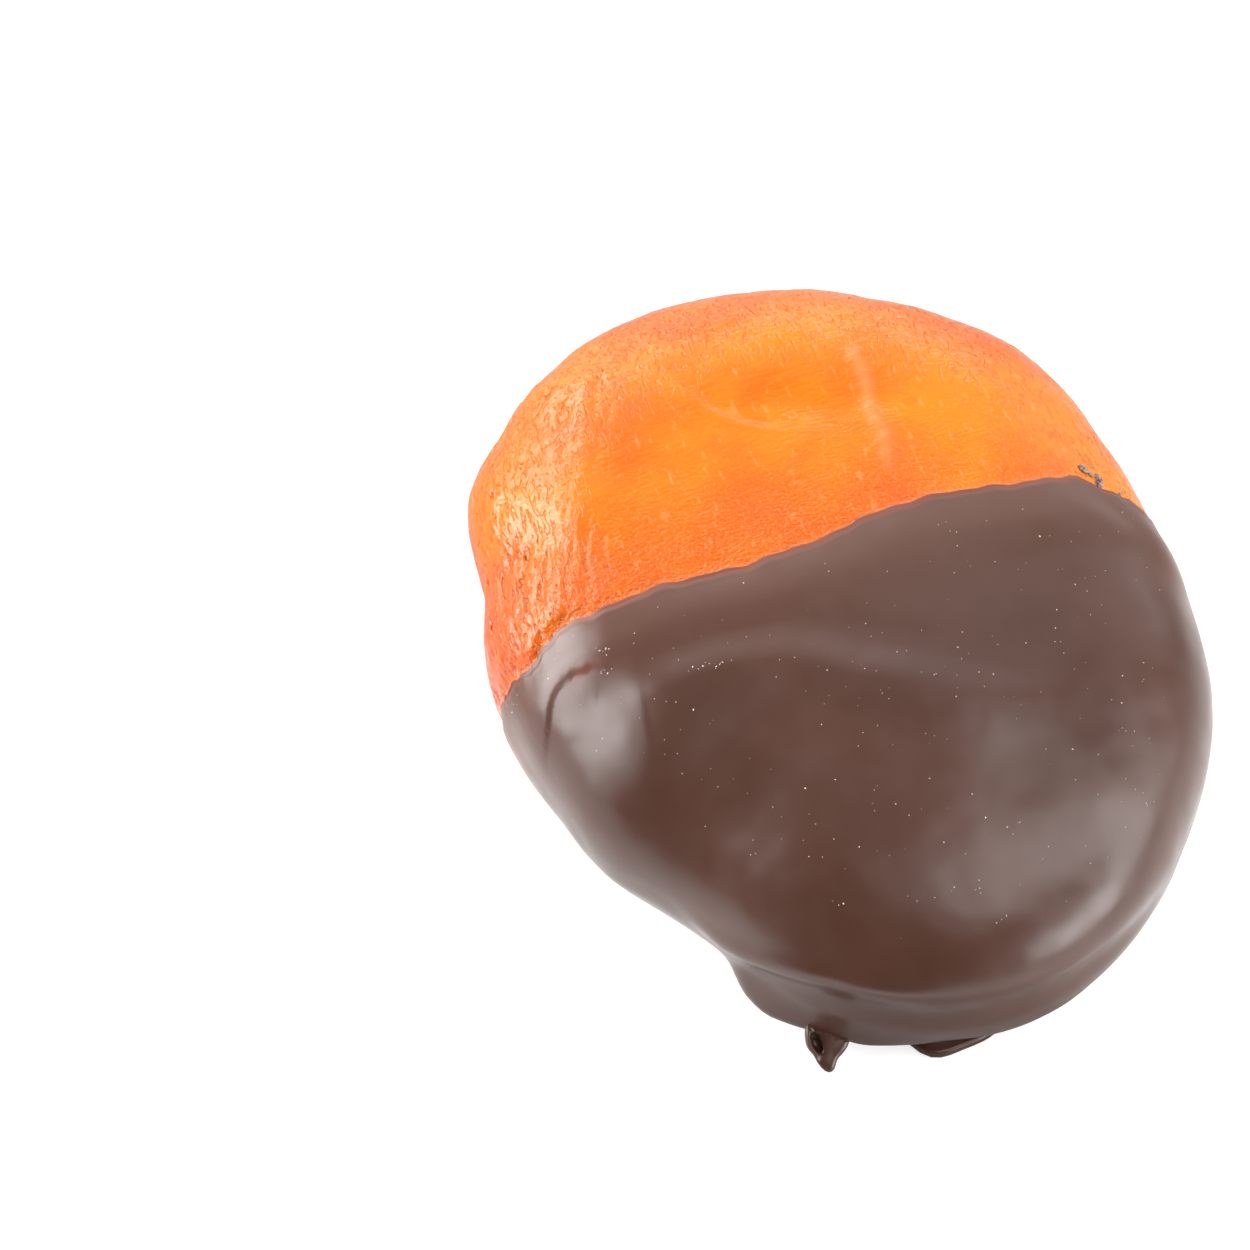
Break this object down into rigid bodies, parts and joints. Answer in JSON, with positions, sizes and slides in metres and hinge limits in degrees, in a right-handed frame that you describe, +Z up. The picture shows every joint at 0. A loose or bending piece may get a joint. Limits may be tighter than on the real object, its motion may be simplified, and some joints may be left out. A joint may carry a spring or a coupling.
{
  "type": "chocolate dipped apricot",
  "caption": "Whole candied apricot, flattened and glossy, its lower part in a dark chocolate coat with a wavy edge, a thin foot and a small curled drip.",
  "frame": {"origin": "middle of the bounding box in plan, on the plane that the flat foot rests on", "axes": "+Y from the chocolate end to the bare end, +X to the right seen from above with the bare end away, +Z up"},
  "size_m": [0.0436, 0.0534, 0.0176],
  "materials": {
    "apricot_flesh": "moist, glossy, wrinkled skin",
    "dark_chocolate": "smooth satin"
  },
  "bodies": {
    "root": {"apricot": "apricot_flesh", "chocolate_coat": "dark_chocolate"}
  },
  "joints": []
}
